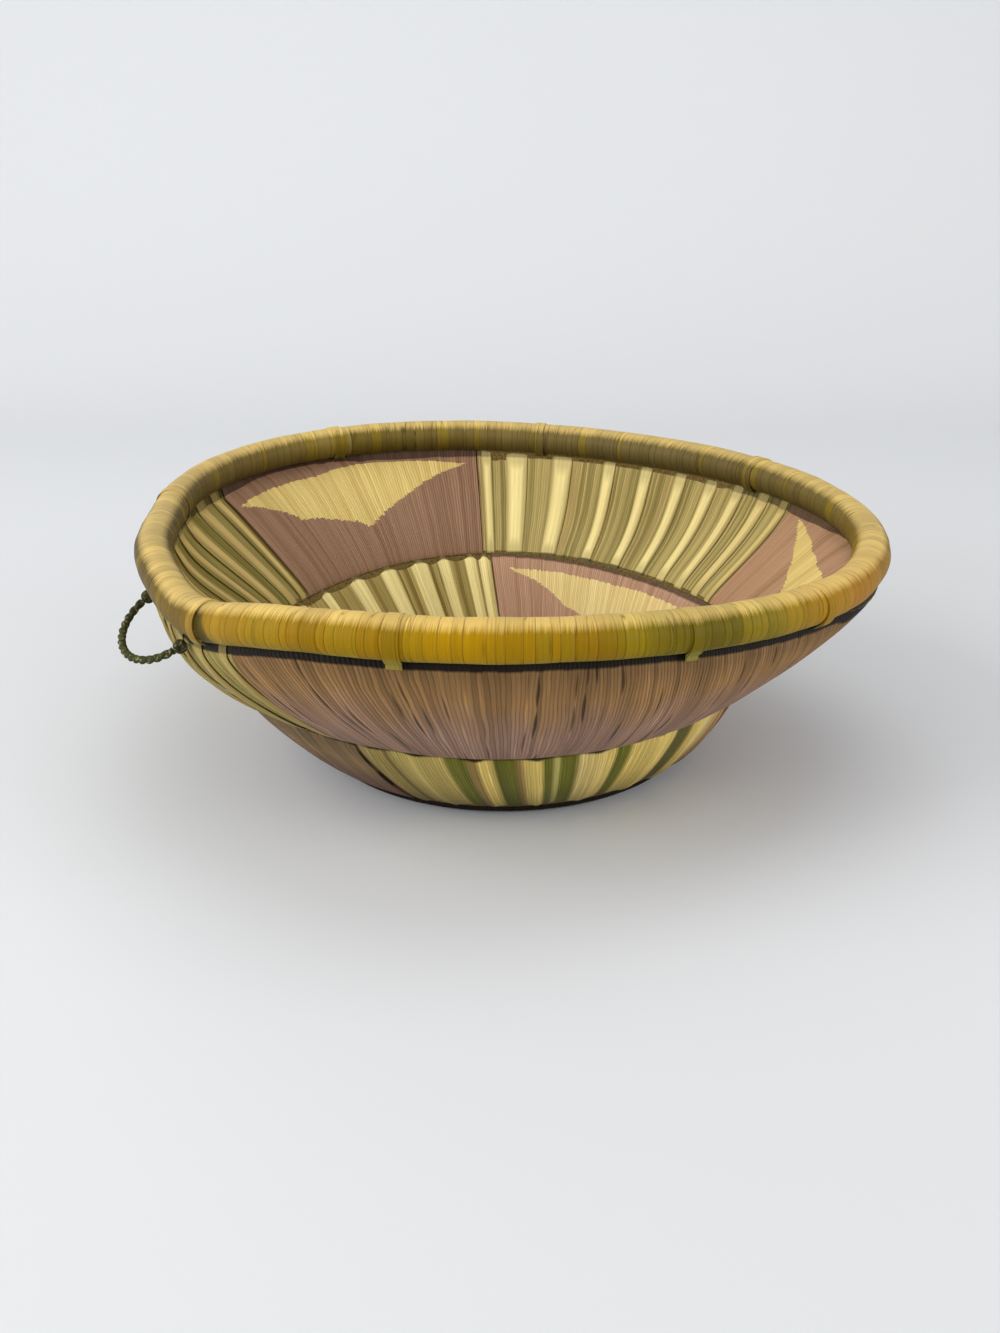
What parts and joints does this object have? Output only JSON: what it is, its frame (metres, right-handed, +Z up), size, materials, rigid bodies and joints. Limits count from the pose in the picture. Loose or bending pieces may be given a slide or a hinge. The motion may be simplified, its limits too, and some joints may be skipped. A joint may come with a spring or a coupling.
{
  "type": "coiled basket",
  "caption": "Open round bowl basket of broad fibre coils wrapped in palm strips, with raised ribs, a round wrapped rim tied on by lashings, and a small hanging loop.",
  "frame": {"origin": "Centre of the round base, on the flat underside that the basket stands on.", "axes": "+Z is up, out of the bowl's mouth. +X points to the side opposite the hanging loop's half, and the loop is at -X, a little towards -Y. +Y is the back, where the upper coil's ribbed and flat panels meet."},
  "size_m": [0.3435, 0.3511, 0.1229],
  "materials": {
    "fibre_core": "matte plant fibre bundle",
    "strip_mauve": "satin palm strip, mauve brown",
    "strip_olive": "satin palm strip, olive",
    "strip_cream": "satin palm strip, cream",
    "rim_golden": "satin palm strip, golden",
    "rim_olive": "satin palm strip, olive gold",
    "loop_cord": "twisted dark fibre cord"
  },
  "bodies": {
    "basket": {"base_centre": "strip_cream", "base_coil_core": "fibre_core", "base_back_wrap": "strip_mauve", "base_front_wrap": "strip_mauve", "lower_coil_core": "fibre_core", "lower_back_ribbed_wrap": "strip_cream", "lower_front_ribbed_wrap": "strip_cream", "lower_left_flat_wrap": "strip_mauve", "lower_right_flat_wrap": "strip_mauve", "upper_coil_core": "fibre_core", "upper_right_underwrap": "strip_olive", "upper_right_rib_01": "strip_cream", "upper_right_rib_02": "strip_cream", "upper_right_rib_03": "strip_cream", "upper_right_rib_04": "strip_cream", "upper_right_rib_05": "strip_cream", "upper_right_rib_06": "strip_cream", "upper_right_rib_07": "strip_cream", "upper_right_rib_08": "strip_cream", "upper_right_rib_09": "strip_cream", "upper_right_rib_10": "strip_cream", "upper_left_underwrap": "strip_olive", "upper_left_rib_01": "strip_cream", "upper_left_rib_02": "strip_cream", "upper_left_rib_03": "strip_cream", "upper_left_rib_04": "strip_cream", "upper_left_rib_05": "strip_cream", "upper_left_rib_06": "strip_cream", "upper_left_rib_07": "strip_cream", "upper_left_rib_08": "strip_cream", "upper_left_rib_09": "strip_cream", "upper_left_rib_10": "strip_cream", "upper_left_rib_11": "strip_cream", "upper_left_rib_12": "strip_cream", "upper_left_rib_13": "strip_cream", "upper_left_rib_14": "strip_cream", "upper_left_rib_15": "strip_cream", "upper_back_flat_wrap": "strip_mauve", "upper_front_flat_wrap": "strip_mauve", "rim_core": "fibre_core", "rim_front_wrap": "rim_golden", "rim_right_wrap": "rim_olive", "rim_back_wrap": "rim_olive", "rim_left_wrap": "rim_golden", "rim_lashing_1": "rim_golden", "rim_lashing_2": "rim_golden", "rim_lashing_3": "rim_golden", "rim_lashing_4": "rim_golden", "rim_lashing_5": "rim_golden", "rim_lashing_6": "rim_golden", "rim_lashing_7": "rim_golden", "rim_lashing_8": "rim_golden", "loop_knot_rear": "loop_cord", "loop_knot_front": "loop_cord"},
    "loop": {"hanging_loop": "loop_cord"}
  },
  "joints": [
    {"name": "loop_swing", "type": "hinge", "parent": "basket", "child": "loop", "pos_m": [-0.13925, -0.08678, 0.09032], "axis": [0.4364, -0.8955, -0.087], "range_deg": [-60, 50]}
  ]
}
